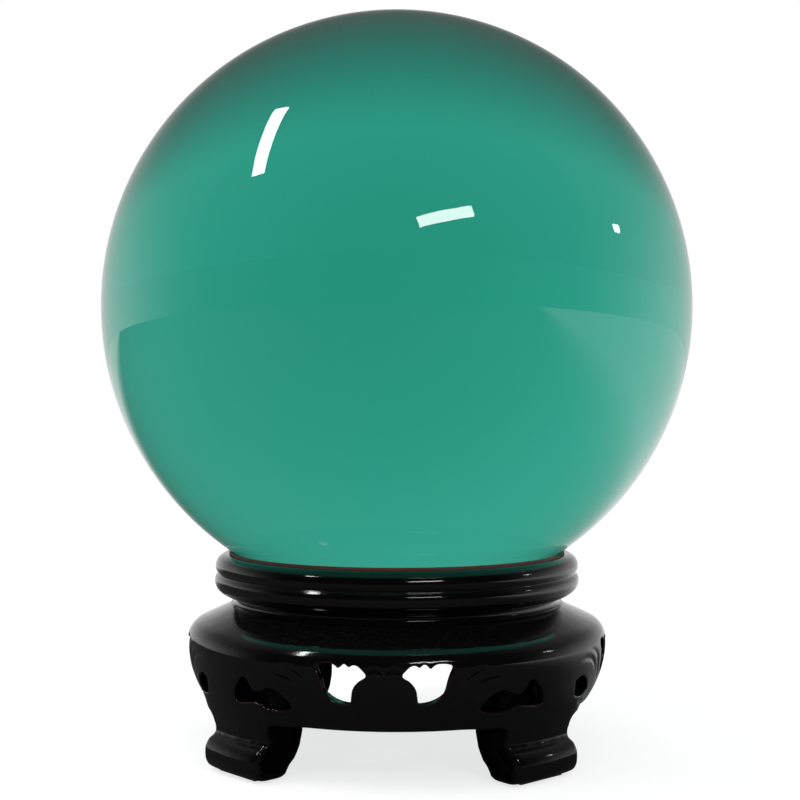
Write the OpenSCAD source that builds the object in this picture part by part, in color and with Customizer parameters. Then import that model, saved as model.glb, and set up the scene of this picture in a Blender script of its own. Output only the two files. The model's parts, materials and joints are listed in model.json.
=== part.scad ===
// Glass ball on a carved and lacquered wooden stand.
// Millimetres, +Z up. The origin is on the table, under the middle of the stand.
// The front is -Y: it is the middle of one apron, between two legs.

/* [Ball] */
// Diameter of the glass ball
ball_d = 150; // [128:1:180]

/* [Rim] */
// Diameter of the rim over its main bead
rim_d = 93.4; // [90:0.2:114]
// Least height of the rim; it is made taller when its seat needs a deeper dish
rim_h = 10.2; // [9.8:0.1:13]
// Radius of the upper bead, which ends in the crest
top_bead_r = 3; // [2.6:0.1:3.6]
// Radius of the main bead
main_bead_r = 3; // [2.6:0.1:3.4]
// Radius of the small bead at the rim's lower edge
low_bead_r = 0.9; // [0.7:0.05:1.1]
// Distance between the middles of the upper and the main bead
bead_pitch = 4; // [3.6:0.1:4.6]
// Thickness of the felt that lines the seat
lining_t = 0.6; // [0.5:0.1:1.2]
// Width of the felt, measured outwards from the rim's bore
lining_w = 8.5; // [7.5:0.1:8.6]

/* [Waist] */
// Diameter of the waist, the neck under the rim
neck_d = 83; // [79:0.2:87]
// Height of the neck that shows
waist_h = 2.4; // [1.6:0.1:3]
// Diameter of the hole through the waist
waist_bore_d = 56; // [46:0.5:60]
// Diameter of the spigots that centre the rim and the shoulder on the waist
spigot_d = 68; // [64:0.2:70]
// Height of each spigot
spigot_h = 2.4; // [2:0.1:3]

/* [Shoulder] */
// Largest diameter of the stand, at its belly
shoulder_d = 107; // [104:0.2:130]
// Height of the belly above the table
belly_z = 28.2; // [27.2:0.1:29]
// Radius of the round above the belly
belly_round = 5; // [4.4:0.1:6]
// Slope of the shoulder between that round and the neck, in degrees
shoulder_slope = 24; // [20:1:29]
// Height of the joint between the shoulder and the legs and aprons
joint_z = 31; // [30.2:0.1:31.8]

/* [Aprons] */
// Height of an apron's lower edge above the table
apron_z = 13.8; // [12:0.1:15]
// Thickness of an apron's wall
apron_wall = 5; // [4.2:0.1:5.6]
// Radius of the swell below the belly
swell_r = 25; // [21:0.5:29]
// Radius of the small bracket where an apron meets a leg
bracket_r = 2.4; // [2:0.1:2.9]
// Width of a cloud-shaped opening
cloud_w = 11; // [9.2:0.1:12]
// Width of a cloud opening's foot
cloud_foot_w = 4.4; // [3.6:0.1:5.2]
// Angle from the apron's middle to a cloud opening, in degrees
cloud_angle = 12; // [10.5:0.5:13]
// Wood left above the cloud openings
cloud_head = 1.4; // [1.2:0.1:1.8]
// Wood left below the cloud openings
cloud_sill = 5.2; // [4.2:0.1:6.2]
// Length of a leaf-shaped opening
leaf_l = 10; // [8.3:0.1:11]
// Width of a leaf-shaped opening
leaf_w = 4.2; // [3.4:0.1:5]
// Angle from the apron's middle to a leaf opening, in degrees
leaf_angle = 27; // [26:0.2:27.6]
// Tilt of a leaf opening, rising towards the leg, in degrees
leaf_tilt = 32; // [24:1:38]

/* [Legs] */
// Width of a leg across its face
leg_w = 21; // [17:0.1:22]
// Depth of a leg at the belly, from its face to its back
leg_depth = 13.5; // [13:0.1:16]
// How far the scroll's middle lies inside the belly
scroll_inset = 4.1; // [3.6:0.1:5.2]
// Radius of the scroll at the foot
scroll_r = 4; // [3.6:0.1:4.6]
// Radius of the scroll's lower edge, where it meets the sole
front_r = 3; // [2.4:0.1:3.4]
// Distance from the scroll's middle back to the middle of the foot's back edge
sole_w = 2.8; // [2.4:0.1:3.4]
// Radius of the foot's back edge
toe_r = 2.2; // [1.8:0.1:2.6]
// Thickness of the felt pad under a foot
pad_t = 0.5; // [0.4:0.1:1.2]

/* [Joinery] */
// Diameter of a dowel between a leg and the shoulder
dowel_d = 4; // [3.2:0.1:4.8]
// Distance between a leg's two dowels
dowel_gap = 11; // [9.2:0.1:12]
// Wood between a dowel and the back of its leg
dowel_back = 2.4; // [2:0.1:3]
// How deep a dowel goes into its leg
dowel_depth = 8; // [6.5:0.5:9.5]
// Wood left over a dowel in the shoulder
dowel_cover = 1; // [0.8:0.1:1.4]
// How far an apron's tongue goes into a leg
tongue_l = 2.8; // [2.3:0.1:3.3]
// Thickness of the tongue
tongue_t = 1.8; // [1.5:0.1:2.2]

/* [Hidden] */
$fn = 96;

// Colours
GLASS = "mediumseagreen";
LACQUER = [0.13, 0.1, 0.1];
BARE_WOOD = "burlywood";
RED_FELT = [0.36, 0.13, 0.1];
GREY_FELT = [0.3, 0.3, 0.32];

// Azimuths from +X, in degrees
APRON_FRONT = -90;
APRON_RIGHT = 0;
APRON_BACK = 90;
APRON_LEFT = 180;
LEG_FRONT_RIGHT = -45;
LEG_BACK_RIGHT = 45;
LEG_BACK_LEFT = 135;
LEG_FRONT_LEFT = -135;
LEGS = [LEG_FRONT_RIGHT, LEG_BACK_RIGHT, LEG_BACK_LEFT, LEG_FRONT_LEFT];
apron_to_leg = 45;

// Clearances
seat_gap = 0.3;     // ball to felt
fit_gap = 0.05;     // between glued pieces, where one goes into the other
end_gap = 0.3;      // past the end of a dowel or a tongue
bracket_tip = 0.3;  // cut off a bracket's lower end, so that it isn't a feather edge
spigot_clear = 0.4; // ball to the upper spigot
far = 200;          // longer than the stand in any direction

// Shoulder and belly, as points [distance from the axis, height]
neck_r = neck_d / 2;
spigot_r = spigot_d / 2;
spigot_hole_r = spigot_r + fit_gap;
belly_r = shoulder_d / 2;
round_c = [belly_r - belly_round, belly_z];
swell_c = [belly_r - swell_r, belly_z];
joint_angle = asin((joint_z - belly_z) / belly_round);
slope_angle = 90 - shoulder_slope;
slope_top = round_c + belly_round * [cos(slope_angle), sin(slope_angle)];
waist_z = slope_z(neck_r);

// Seat: the dish is part of a sphere about the ball's middle, and meets the upper bead past its crest.
ball_r = ball_d / 2;
bore_r = waist_bore_d / 2;
lining_face_r = ball_r + seat_gap;
dish_r = lining_face_r + lining_t;
crest_angle = 100;
main_r = rim_d / 2 - main_bead_r;
top_r = main_r - 0.15;
seat_r = top_r + top_bead_r * cos(crest_angle);
seat_drop = top_bead_r * (1 - sin(crest_angle));
seat_depth = seat_drop + sqrt(pow(ball_r, 2) - pow(bore_r, 2)) - sqrt(pow(dish_r, 2) - pow(seat_r, 2));
lining_in_r = spigot_hole_r + 0.4;

// Rim: tall enough for the ball to clear the upper spigot
rim_z = waist_z + waist_h;
crest_z = rim_z + max(rim_h, spigot_h + seat_depth + spigot_clear);
main_c = [main_r, crest_z - top_bead_r - bead_pitch];
top_c = [top_r, crest_z - top_bead_r];
low_c = [main_r - 0.25, rim_z + low_bead_r];
ball_z = crest_z - seat_drop + sqrt(pow(dish_r, 2) - pow(seat_r, 2));

// Foot
sole_z = pad_t;
scroll_c = [belly_r - scroll_inset, sole_z + scroll_r];
scroll_angle = 66;
scroll_top = scroll_c + scroll_r * [cos(scroll_angle), sin(scroll_angle)];
ankle_pull = scroll_top + [1.1, 3.8];
leg_leaves_z = apron_z + 10;
leg_back_r = belly_r - leg_depth;
front_c = [scroll_c[0] + scroll_r - front_r, sole_z + front_r];
toe_c = [scroll_c[0] - sole_w, sole_z + toe_r];

// Joinery
dowel_r = dowel_d / 2;
dowel_x = leg_back_r + dowel_back + dowel_r;
dowel_top = min(waist_z, slope_z(norm([dowel_x + dowel_r, dowel_gap / 2 + dowel_r]))) - dowel_cover;
tongue_in = [belly_r - apron_wall + 0.1, apron_z + 4.8];
tongue_out = [tongue_in[0] + tongue_t, joint_z - 1.5];

// ---------- curves ----------

// Height of the shoulder's slope at distance r from the axis
function slope_z(r) = slope_top[1] + (slope_top[0] - r) * tan(shoulder_slope);

// Angle at which a circle of radius r about the belly's height passes height z
function angle_at(z, r) = asin((z - belly_z) / r);

// Points of an arc about c, from angle a to angle b
function arc(c, r, a, b, steps, first = 0) =
    [for (i = [first:steps]) let (t = a + (b - a) * i / steps) c + r * [cos(t), sin(t)]];

// The points between p and q of a curve that is pulled towards m
function bend(p, m, q, steps) =
    [for (i = [1:steps - 1]) let (t = i / steps) pow(1 - t, 2) * p + 2 * t * (1 - t) * m + t * t * q];

// The outside of legs and aprons, from the joint down to height low
function face_curve(low) = concat(
    arc(round_c, belly_round, joint_angle, 0, 4),
    arc(swell_c, swell_r, 0, angle_at(low, swell_r), 5, first = 1)
);

function apron_profile() = let (
    back_r = swell_r - apron_wall,
    low = apron_z - bracket_r + bracket_tip
) concat(
    face_curve(low),
    arc(swell_c, back_r, angle_at(low, back_r), angle_at(joint_z, back_r), 6)
);

function leg_profile() = let (
    leaves = [swell_c[0] + sqrt(pow(swell_r, 2) - pow(belly_z - leg_leaves_z, 2)), leg_leaves_z],
    back_low = [leg_back_r, apron_z],
    toe_back = toe_c - [toe_r, 0]
) concat(
    [[leg_back_r, joint_z]],
    face_curve(leg_leaves_z),
    bend(leaves, ankle_pull, scroll_top, 6),
    arc(scroll_c, scroll_r, scroll_angle, 0, 6),
    arc(front_c, front_r, 0, -90, 6),
    arc(toe_c, toe_r, -90, -180, 4),
    bend(toe_back, [leg_back_r, apron_z - 4.5], back_low, 5),
    [back_low]
);

// ---------- shapes that repeat ----------

module revolve(points) rotate_extrude() polygon(points);

// A ring of rectangular section, between two corners [distance from the axis, height]
module band(low, high) rotate_extrude() translate(low) square(high - low);

// A sphere about the ball's middle
module about_ball(r) translate([0, 0, ball_z]) sphere(r = r);

// What lies within w / 2 of the plane y = 0, on the +X side
module slab(w) translate([0, -w / 2, -far / 2]) cube([far, w, far]);

// The room between two legs, on the +X side, as if they were w wide
module between_legs(w)
    translate([w * sqrt(2) / 2, 0, -far / 2]) rotate([0, 0, -apron_to_leg]) cube(far);

// Children's outline, run outwards from the axis along +X: its x is across, its y is up
module outwards() rotate([90, 0, 90]) linear_extrude(far) children();

module both_ends() {
    children();
    mirror([0, 1, 0]) children();
}

// ---------- ball and rings ----------

module ball() {
    color(GLASS) about_ball(ball_r);
}

module seat_lining() {
    color(RED_FELT) difference() {
        intersection() {
            about_ball(dish_r - fit_gap);
            band([lining_in_r, rim_z], [lining_in_r + lining_w, crest_z]);
        }
        about_ball(lining_face_r);
    }
}

module top_ring() {
    color(LACQUER) difference() {
        rotate_extrude() {
            translate([spigot_hole_r, rim_z]) square([low_c[0] - spigot_hole_r, top_c[1] - rim_z]);
            translate(top_c) circle(top_bead_r);
            translate(main_c) circle(main_bead_r);
            translate(low_c) circle(low_bead_r);
        }
        about_ball(dish_r);
    }
}

module waist_ring() {
    color(LACQUER) revolve([
        [bore_r, waist_z - spigot_h], [spigot_r, waist_z - spigot_h],
        [spigot_r, waist_z], [neck_r, waist_z],
        [neck_r, rim_z], [spigot_r, rim_z],
        [spigot_r, rim_z + spigot_h], [bore_r, rim_z + spigot_h]
    ]);
}

module shoulder_ring() {
    color(LACQUER) difference() {
        revolve(concat(
            [[spigot_hole_r, joint_z]],
            arc(round_c, belly_round, joint_angle, slope_angle, 4),
            [[neck_r, waist_z], [spigot_hole_r, waist_z]]
        ));
        for (azimuth = LEGS)
            rotate([0, 0, azimuth]) dowels(dowel_r + fit_gap, end_gap);
    }
}

// ---------- aprons ----------

module cloud_outline() {
    height = joint_z - cloud_head - apron_z - cloud_sill;
    lobe_r = cloud_w * 0.27;
    foot_r = cloud_foot_w / 2;
    shoulder_y = height - lobe_r;
    for (side = [-1, 1])
        translate([side * (cloud_w / 2 - lobe_r), shoulder_y]) circle(lobe_r);
    translate([0, foot_r]) circle(foot_r);
    polygon([[-foot_r, foot_r], [foot_r, foot_r], [cloud_w / 2, shoulder_y], [-cloud_w / 2, shoulder_y]]);
}

module leaf_outline() {
    side_r = (pow(leaf_l, 2) + pow(leaf_w, 2)) / 4 / leaf_w;
    intersection_for(side = [-1, 1])
        translate([0, side * (side_r - leaf_w / 2)]) circle(side_r);
}

module openings() {
    rotate([0, 0, cloud_angle])
        translate([0, 0, apron_z + cloud_sill])
            outwards() cloud_outline();
    rotate([0, 0, leaf_angle])
        translate([0, 0, (apron_z + cloud_sill + joint_z - cloud_head) / 2 - 1.2])
            outwards() rotate(leaf_tilt) leaf_outline();
}

// The room under an apron, up to a bracket's round at the leg on the +Y side
module half_arch() {
    rotate([0, 0, apron_to_leg])
        translate([0, -leg_w / 2, apron_z])
            outwards() polygon(concat(
                [[0, -bracket_r]], arc([-bracket_r, -bracket_r], bracket_r, 18, 90, 4),
                [[-far, 0], [-far, -far], [0, -far]]
            ));
}

module arch() {
    intersection() {
        half_arch();
        mirror([0, 1, 0]) half_arch();
    }
}

module tongues(gap) {
    band(tongue_in - [gap, gap], tongue_out + [gap, gap]);
}

module apron(azimuth) {
    color(LACQUER) rotate([0, 0, azimuth]) difference() {
        union() {
            intersection() {
                revolve(apron_profile());
                between_legs(leg_w);
            }
            intersection() {
                tongues(0);
                between_legs(leg_w - 2 * tongue_l);
            }
        }
        arch();
        both_ends() openings();
    }
}

// ---------- legs ----------

// A leg's two dowels, with radius r and longer by gap at each end
module dowels(r, gap) {
    for (side = [-1, 1])
        translate([dowel_x, side * dowel_gap / 2, joint_z - dowel_depth - gap])
            cylinder(r = r, h = dowel_depth + dowel_top - joint_z + 2 * gap);
}

module leg(azimuth) {
    color(LACQUER) rotate([0, 0, azimuth]) difference() {
        intersection() {
            revolve(leg_profile());
            slab(leg_w);
        }
        difference() {
            tongues(fit_gap);
            slab(leg_w - 2 * (tongue_l + end_gap));
        }
        dowels(dowel_r + fit_gap, end_gap);
    }
}

module leg_dowels() {
    color(BARE_WOOD) for (azimuth = LEGS)
        rotate([0, 0, azimuth]) dowels(dowel_r, 0);
}

module foot_pad(azimuth) {
    edge = 0.4;
    color(GREY_FELT) rotate([0, 0, azimuth]) intersection() {
        band([toe_c[0] - edge, 0], [front_c[0] + edge, pad_t]);
        slab(leg_w - 4 * edge);
    }
}

ball();
seat_lining();
top_ring();
waist_ring();
shoulder_ring();
apron(APRON_FRONT);  // apron_front
apron(APRON_RIGHT);  // apron_right
apron(APRON_BACK);  // apron_back
apron(APRON_LEFT);  // apron_left
leg(LEG_FRONT_RIGHT);  // leg_front_right
leg(LEG_BACK_RIGHT);  // leg_back_right
leg(LEG_BACK_LEFT);  // leg_back_left
leg(LEG_FRONT_LEFT);  // leg_front_left
leg_dowels();
foot_pad(LEG_FRONT_RIGHT);  // foot_pad_front_right
foot_pad(LEG_BACK_RIGHT);  // foot_pad_back_right
foot_pad(LEG_BACK_LEFT);  // foot_pad_back_left
foot_pad(LEG_FRONT_LEFT);  // foot_pad_front_left
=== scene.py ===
# %% [markdown]
# # A glass ball on a lacquered stand
# The object is a solid ball of sea-green glass that sits in the dish of a small carved stand. The stand
# is wood under many coats of black lacquer. The sizes and joints are already settled in the packed
# frame. This file gives every piece its finished surface, one step at a time, and then lights it on a
# plain pale table.

# %% Load the frame
import json
import math

import bpy
import numpy as np
from mathutils import Matrix, Vector

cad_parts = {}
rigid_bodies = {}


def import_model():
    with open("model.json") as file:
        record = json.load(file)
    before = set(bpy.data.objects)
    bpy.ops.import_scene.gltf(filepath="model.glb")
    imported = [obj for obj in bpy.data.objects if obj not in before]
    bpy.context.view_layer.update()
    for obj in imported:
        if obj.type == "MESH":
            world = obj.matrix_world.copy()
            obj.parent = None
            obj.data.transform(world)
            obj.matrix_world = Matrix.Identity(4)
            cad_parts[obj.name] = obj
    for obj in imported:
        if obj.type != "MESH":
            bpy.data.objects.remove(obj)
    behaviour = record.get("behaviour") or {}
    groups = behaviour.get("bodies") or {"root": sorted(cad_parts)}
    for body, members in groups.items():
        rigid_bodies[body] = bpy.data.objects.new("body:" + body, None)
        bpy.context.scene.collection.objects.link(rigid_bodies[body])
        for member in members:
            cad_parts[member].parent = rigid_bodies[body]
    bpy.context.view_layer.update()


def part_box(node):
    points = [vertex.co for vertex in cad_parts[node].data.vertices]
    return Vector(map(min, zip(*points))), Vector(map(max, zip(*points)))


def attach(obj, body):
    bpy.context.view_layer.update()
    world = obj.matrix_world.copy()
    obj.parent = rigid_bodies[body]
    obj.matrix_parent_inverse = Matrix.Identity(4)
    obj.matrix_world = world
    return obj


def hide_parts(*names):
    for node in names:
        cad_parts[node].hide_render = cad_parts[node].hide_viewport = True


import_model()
MM = 0.001

# %% [markdown]
# ## Where things are
# A piece takes its place from the frame, so that it always meets its neighbours. Each box gives the
# lowest and highest corner of one CAD piece: a turned ring's radius is half its box's width.

# %% Read the places
ball_low, ball_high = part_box("ball")
rim_low, rim_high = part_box("top_ring")
neck_low, neck_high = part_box("waist_ring")
shoulder_low, shoulder_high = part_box("shoulder_ring")
apron_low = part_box("apron_front")[0]
pad_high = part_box("foot_pad_front_right")[1]

BALL_Z = (ball_low.z + ball_high.z) / 2
BALL_R = (ball_high.z - ball_low.z) / 2
RIM_R = (rim_high.x - rim_low.x) / 2
RIM_Z = rim_low.z
CREST_Z = rim_high.z
NECK_R = (neck_high.x - neck_low.x) / 2
WAIST_Z = shoulder_high.z
JOINT_Z = shoulder_low.z
BELLY_R = -apron_low.y
SOLE_Z = pad_high.z
print("ball", round(BALL_R * 2, 4), "m across, its middle", round(BALL_Z, 4), "m up")

# %% [markdown]
# ## Helpers for modelling by hand
# Most edits need three things: nothing else selected, one piece active, and the right faces picked.
# These small helpers do that, so that each later step reads like the steps in the 3D view.

# %% Selecting and editing
def only(piece):
    """Makes piece the one selected and active object."""
    bpy.ops.object.select_all(action="DESELECT")
    piece.select_set(True)
    bpy.context.view_layer.objects.active = piece


def edit(piece):
    """Enters the mesh of piece, with all of it selected."""
    only(piece)
    bpy.ops.object.mode_set(mode="EDIT")
    bpy.ops.mesh.select_all(action="SELECT")


def leave_edit():
    bpy.ops.object.mode_set(mode="OBJECT")

# %% Changing a piece
def modify(piece, kind, **settings):
    """Adds a modifier, sets it and applies it."""
    only(piece)
    modifier = piece.modifiers.new(kind.lower(), kind)
    for name, value in settings.items():
        setattr(modifier, name, value)
    bpy.ops.object.modifier_apply(modifier=modifier.name)


def combine(piece, operation, other, solver="EXACT"):
    """Joins other to piece, takes it away, or keeps what the two share."""
    modify(piece, "BOOLEAN", operation=operation, object=other, solver=solver)


def tidy_normals(piece):
    """Merges doubled points and turns every face outwards."""
    edit(piece)
    bpy.ops.mesh.remove_doubles(threshold=0.002 * MM)
    bpy.ops.mesh.normals_make_consistent(inside=False)
    leave_edit()


def remeshed(piece, size=0.27):
    """Replaces the faces by small, even ones. Size in millimetres."""
    piece.data.remesh_voxel_size = size * MM
    piece.data.remesh_voxel_adaptivity = 0
    only(piece)
    bpy.ops.object.voxel_remesh()


def softened(piece, rounds):
    """Evens out the surface a little more with each round."""
    edit(piece)
    bpy.ops.mesh.vertices_smooth(factor=0.5, repeat=rounds)
    leave_edit()


def smooth(piece, angle=35):
    only(piece)
    bpy.ops.object.shade_smooth_by_angle(angle=math.radians(angle))


def triangles(piece):
    return sum(len(face.vertices) - 2 for face in piece.data.polygons)

# %% Copying and removing
def copied(piece, name):
    """A copy with a mesh of its own, in the same place."""
    made = piece.copy()
    made.data = piece.data.copy()
    made.name = name
    bpy.context.collection.objects.link(made)
    return made


def copy_turned(piece, name, degrees):
    """A copy with a mesh of its own, turned about the stand's axis."""
    only(piece)
    bpy.ops.object.duplicate(linked=False)
    made = bpy.context.active_object
    made.name = name
    made.data.name = name
    made.rotation_euler.z = math.radians(degrees)
    bpy.ops.object.transform_apply(location=True, rotation=True, scale=True)
    return made


def remove(*pieces):
    for piece in pieces:
        bpy.data.objects.remove(piece, do_unlink=True)


# %% [markdown]
# ## Outlines
# A turned ring is an outline spun round an axis, and a carver's cut is an outline pushed straight into
# the wood. Both start as a flat closed line. Round stretches come from two functions: an arc about a
# centre, and a curve that is pulled towards a point.

# %% Curves for outlines
def arc(centre, radius, start, end, steps):
    """Points of an arc, angles in degrees."""
    found = []
    for i in range(steps + 1):
        angle = math.radians(start + (end - start) * i / steps)
        found.append((centre[0] + radius * math.cos(angle), centre[1] + radius * math.sin(angle)))
    return found


def pulled(start, pull, end, steps):
    """Points of a curve from start to end that leans towards pull, without its two ends."""
    found = []
    for i in range(1, steps):
        t = i / steps
        a, b, c = (1 - t) ** 2, 2 * t * (1 - t), t * t
        found.append(tuple(a * start[k] + b * pull[k] + c * end[k] for k in (0, 1)))
    return found


def drawn(name, outline, plane="XZ"):
    """A closed line, as a mesh with edges only."""
    if plane == "XZ":
        points = [(x, 0, z) for x, z in outline]
    else:
        points = [(0, x, z) for x, z in outline]
    count = len(points)
    mesh = bpy.data.meshes.new(name)
    mesh.from_pydata(points, [(i, (i + 1) % count) for i in range(count)], [])
    line = bpy.data.objects.new(name, mesh)
    bpy.context.collection.objects.link(line)
    return line


def spun(name, outline, steps=240, start=0.0, sweep=360.0):
    """A turned solid: the outline [distance from the axis, height] spun about the stand's axis."""
    piece = drawn(name, outline)
    if sweep < 360.0:
        edit(piece)
        bpy.ops.mesh.edge_face_add()
        leave_edit()
    piece.rotation_euler.z = math.radians(start)
    only(piece)
    bpy.ops.object.transform_apply(location=False, rotation=True, scale=False)
    edit(piece)
    # The operator counts its angle clockwise, and azimuths here go the other way.
    bpy.ops.mesh.spin(steps=steps, angle=-math.radians(sweep), center=(0, 0, 0), axis=(0, 0, 1),
                      dupli=False)
    leave_edit()
    tidy_normals(piece)
    return piece


# %% [markdown]
# ## The ball
# The ball is one plain sphere. It needs many faces, because a refracted background shows every flat
# facet.

# %% Make the ball
bpy.ops.mesh.primitive_uv_sphere_add(segments=288, ring_count=144, radius=BALL_R, location=(0, 0, BALL_Z))
glass_ball = bpy.context.active_object
glass_ball.name = "glass_ball"
bpy.ops.object.transform_apply(location=True, rotation=True, scale=True)
bpy.ops.object.shade_smooth()

# %% [markdown]
# ## The turned rings
# Three rings are turned on a lathe: the rim with its two soft beads, the waist with a shallow hollow,
# and the shoulder. Many coats of lacquer have filled the sharp corners, so the outlines run in flowing
# curves. Each ring ends exactly where its neighbour starts.

# %% Draw the ring outlines
BORE_R = 28.0 * MM
SOCKET_R = 34.05 * MM
DISH_R = BALL_R + 0.9 * MM


def flowing(points, steps=5):
    """A smooth line through the given points, in millimetres, returned in metres."""
    found = []
    for i in range(len(points) - 1):
        before, start = points[max(i - 1, 0)], points[i]
        end, after = points[i + 1], points[min(i + 2, len(points) - 1)]
        for j in range(steps):
            t = j / steps
            found.append(tuple(0.5 * MM * (
                2 * start[k] + (end[k] - before[k]) * t
                + (2 * before[k] - 5 * start[k] + 4 * end[k] - after[k]) * t ** 2
                + (3 * start[k] - before[k] - 3 * end[k] + after[k]) * t ** 3) for k in (0, 1)))
    found.append((points[-1][0] * MM, points[-1][1] * MM))
    return found


def dish(radius, from_r, to_r, steps):
    """The bowl of the seat, part of a sphere about the ball's middle."""
    found = []
    for i in range(steps + 1):
        r = from_r + (to_r - from_r) * i / steps
        found.append((r, BALL_Z - math.sqrt(radius ** 2 - r ** 2)))
    return found


RIM_R_MM, RIM_Z_MM, CREST_MM, NECK_MM = RIM_R / MM, RIM_Z / MM, CREST_Z / MM, NECK_R / MM
rim_side = flowing([
    (NECK_MM + 1.0, RIM_Z_MM), (NECK_MM + 2.3, RIM_Z_MM + 0.12), (RIM_R_MM - 1.6, RIM_Z_MM + 0.75),
    (RIM_R_MM - 0.55, RIM_Z_MM + 1.75), (RIM_R_MM - 0.08, RIM_Z_MM + 2.9), (RIM_R_MM, RIM_Z_MM + 3.7),
    (RIM_R_MM - 0.12, RIM_Z_MM + 4.5), (RIM_R_MM - 0.5, RIM_Z_MM + 5.15), (RIM_R_MM - 0.72, RIM_Z_MM + 5.55),
    (RIM_R_MM - 0.5, RIM_Z_MM + 6.0), (RIM_R_MM - 0.22, RIM_Z_MM + 6.6), (RIM_R_MM - 0.15, RIM_Z_MM + 7.3),
    (RIM_R_MM - 0.3, RIM_Z_MM + 8.1), (RIM_R_MM - 0.85, RIM_Z_MM + 9.1), (RIM_R_MM - 1.75, CREST_MM - 0.42),
    (RIM_R_MM - 2.7, CREST_MM - 0.06), (RIM_R_MM - 3.45, CREST_MM - 0.02)])
seat_r = RIM_R - 3.67 * MM
rim_outline = [(SOCKET_R, RIM_Z)] + rim_side + dish(DISH_R, seat_r, SOCKET_R, 14)

neck_side = flowing([
    (NECK_MM + 1.0, RIM_Z_MM), (NECK_MM + 0.3, RIM_Z_MM - 0.35), (NECK_MM, RIM_Z_MM - 0.9),
    (NECK_MM - 0.05, RIM_Z_MM - 1.3), (NECK_MM + 0.05, RIM_Z_MM - 1.75), (NECK_MM + 0.4, RIM_Z_MM - 2.15),
    (NECK_MM + 1.1, WAIST_Z / MM)])
spigot_r = SOCKET_R - 0.05 * MM
SPIGOT = 2.4 * MM
neck_outline = ([(BORE_R, RIM_Z + SPIGOT), (spigot_r, RIM_Z + SPIGOT), (spigot_r, RIM_Z)] + neck_side
                + [(spigot_r, WAIST_Z), (spigot_r, WAIST_Z - SPIGOT), (BORE_R, WAIST_Z - SPIGOT)])

# %% [markdown]
# The belly's curve goes on from the shoulder into the legs and aprons below. It is one function, so that
# the two halves meet without a step: a small round above the widest height, and a long slow swell under
# it.

# %% One curve for the belly
BELLY_Z = 28.2 * MM
ROUND_R = 5.0 * MM
SWELL_R = 25.0 * MM
SLOPE_ANGLE = math.radians(24)


def belly(z):
    """Distance of the stand's outside from its axis, at height z."""
    if z < BELLY_Z:
        return BELLY_R - SWELL_R + math.sqrt(SWELL_R ** 2 - (BELLY_Z - z) ** 2)
    slope_start = BELLY_Z + ROUND_R * math.cos(SLOPE_ANGLE)
    if z < slope_start:
        return BELLY_R - ROUND_R + math.sqrt(ROUND_R ** 2 - (z - BELLY_Z) ** 2)
    return BELLY_R - ROUND_R + ROUND_R * math.sin(SLOPE_ANGLE) - (z - slope_start) / math.tan(SLOPE_ANGLE)


def belly_line(low, high, step=0.35 * MM):
    count = max(2, round((high - low) / step))
    return [(belly(low + (high - low) * i / count), low + (high - low) * i / count) for i in range(count + 1)]


shoulder_outline = ([(SOCKET_R, JOINT_Z)] + belly_line(JOINT_Z, WAIST_Z - 0.25 * MM)
                    + [(NECK_R + 1.1 * MM, WAIST_Z), (SOCKET_R, WAIST_Z)])

# %% Spin the rings
rim = spun("rim", rim_outline)
neck = spun("neck", neck_outline)
shoulder = spun("shoulder", shoulder_outline)
felt_inner, felt_outer = SOCKET_R + 0.4 * MM, seat_r - 0.05 * MM
felt = spun("felt_ring", dish(DISH_R - 0.05 * MM, felt_inner, felt_outer, 12)
            + dish(DISH_R - 0.6 * MM, felt_outer, felt_inner, 12))
for ring in (rim, neck, shoulder, felt):
    smooth(ring)
    print(ring.name, triangles(ring), "triangles")

# %% [markdown]
# ## Rough out the carved part
# Legs and aprons repeat every quarter turn, and each quarter is its own mirror image but for one recess.
# So the carving is done on one eighth of the stand: from the middle of an apron, at 0 degrees, to the
# middle of a leg, at 45 degrees. The rough block goes a little past both ends, and past the joint above.
# The extra wood is sawn off at the end, and then the surface meets its mirror image without a crease.

# %% Set the sizes
APRON_Z = 13.6 * MM
BLOCK_TOP = JOINT_Z + 1.4 * MM
WALL = 5.0 * MM
LEG_AZIMUTH = 45
LEG_W = 21.0 * MM
LEG_BACK = BELLY_R - 13.5 * MM
LEG_LOW = 8.6 * MM
BACK_BEND_Z = 13.8 * MM
TOE_PULL_Z = 5.5 * MM
TOE_R = 2.2 * MM
LIP_R = 3.0 * MM
SCROLL_R = 4.0 * MM
CORNER_R = 3.2 * MM
scroll_at = (BELLY_R - 3.5 * MM, SOLE_Z + SCROLL_R)
front_at = (BELLY_R - 2.7 * MM, SOLE_Z + 2.9 * MM)
toe_at = (BELLY_R - 6.9 * MM, SOLE_Z + TOE_R)

# %% [markdown]
# The leg's face has a line of its own, further out than the apron's belly. Between 20 and 33 degrees
# from the apron's middle the apron flares out to meet it.

# %% The leg's face and the flare
# Each place is a height, and how far the leg's face lies inside the widest line, in millimetres.
LEG_LINE = [(8.2, 3.2), (9.4, 3.0), (11.2, 2.6), (13.2, 2.0), (14.8, 1.6), (16.8, 1.15), (19, 0.85),
            (22, 0.6), (25, 0.2), (28.2, 0.0)]
FLARE_START, FLARE_WIDTH = 20, 13


def leg_face(z):
    """Distance of the leg's face from the stand's axis, at height z."""
    inside = float(np.interp(z / MM, [h for h, _ in LEG_LINE], [i for _, i in LEG_LINE])) * MM
    return max(BELLY_R - inside, belly(z)) if z < BELLY_Z else belly(z)


def outside(angle, z):
    """Distance of the carved part's outside from the axis, at an angle from the apron's middle."""
    t = min(max((angle - FLARE_START) / FLARE_WIDTH, 0), 1)
    return belly(z) + t * t * (3 - 2 * t) * (leg_face(z) - belly(z))


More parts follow.
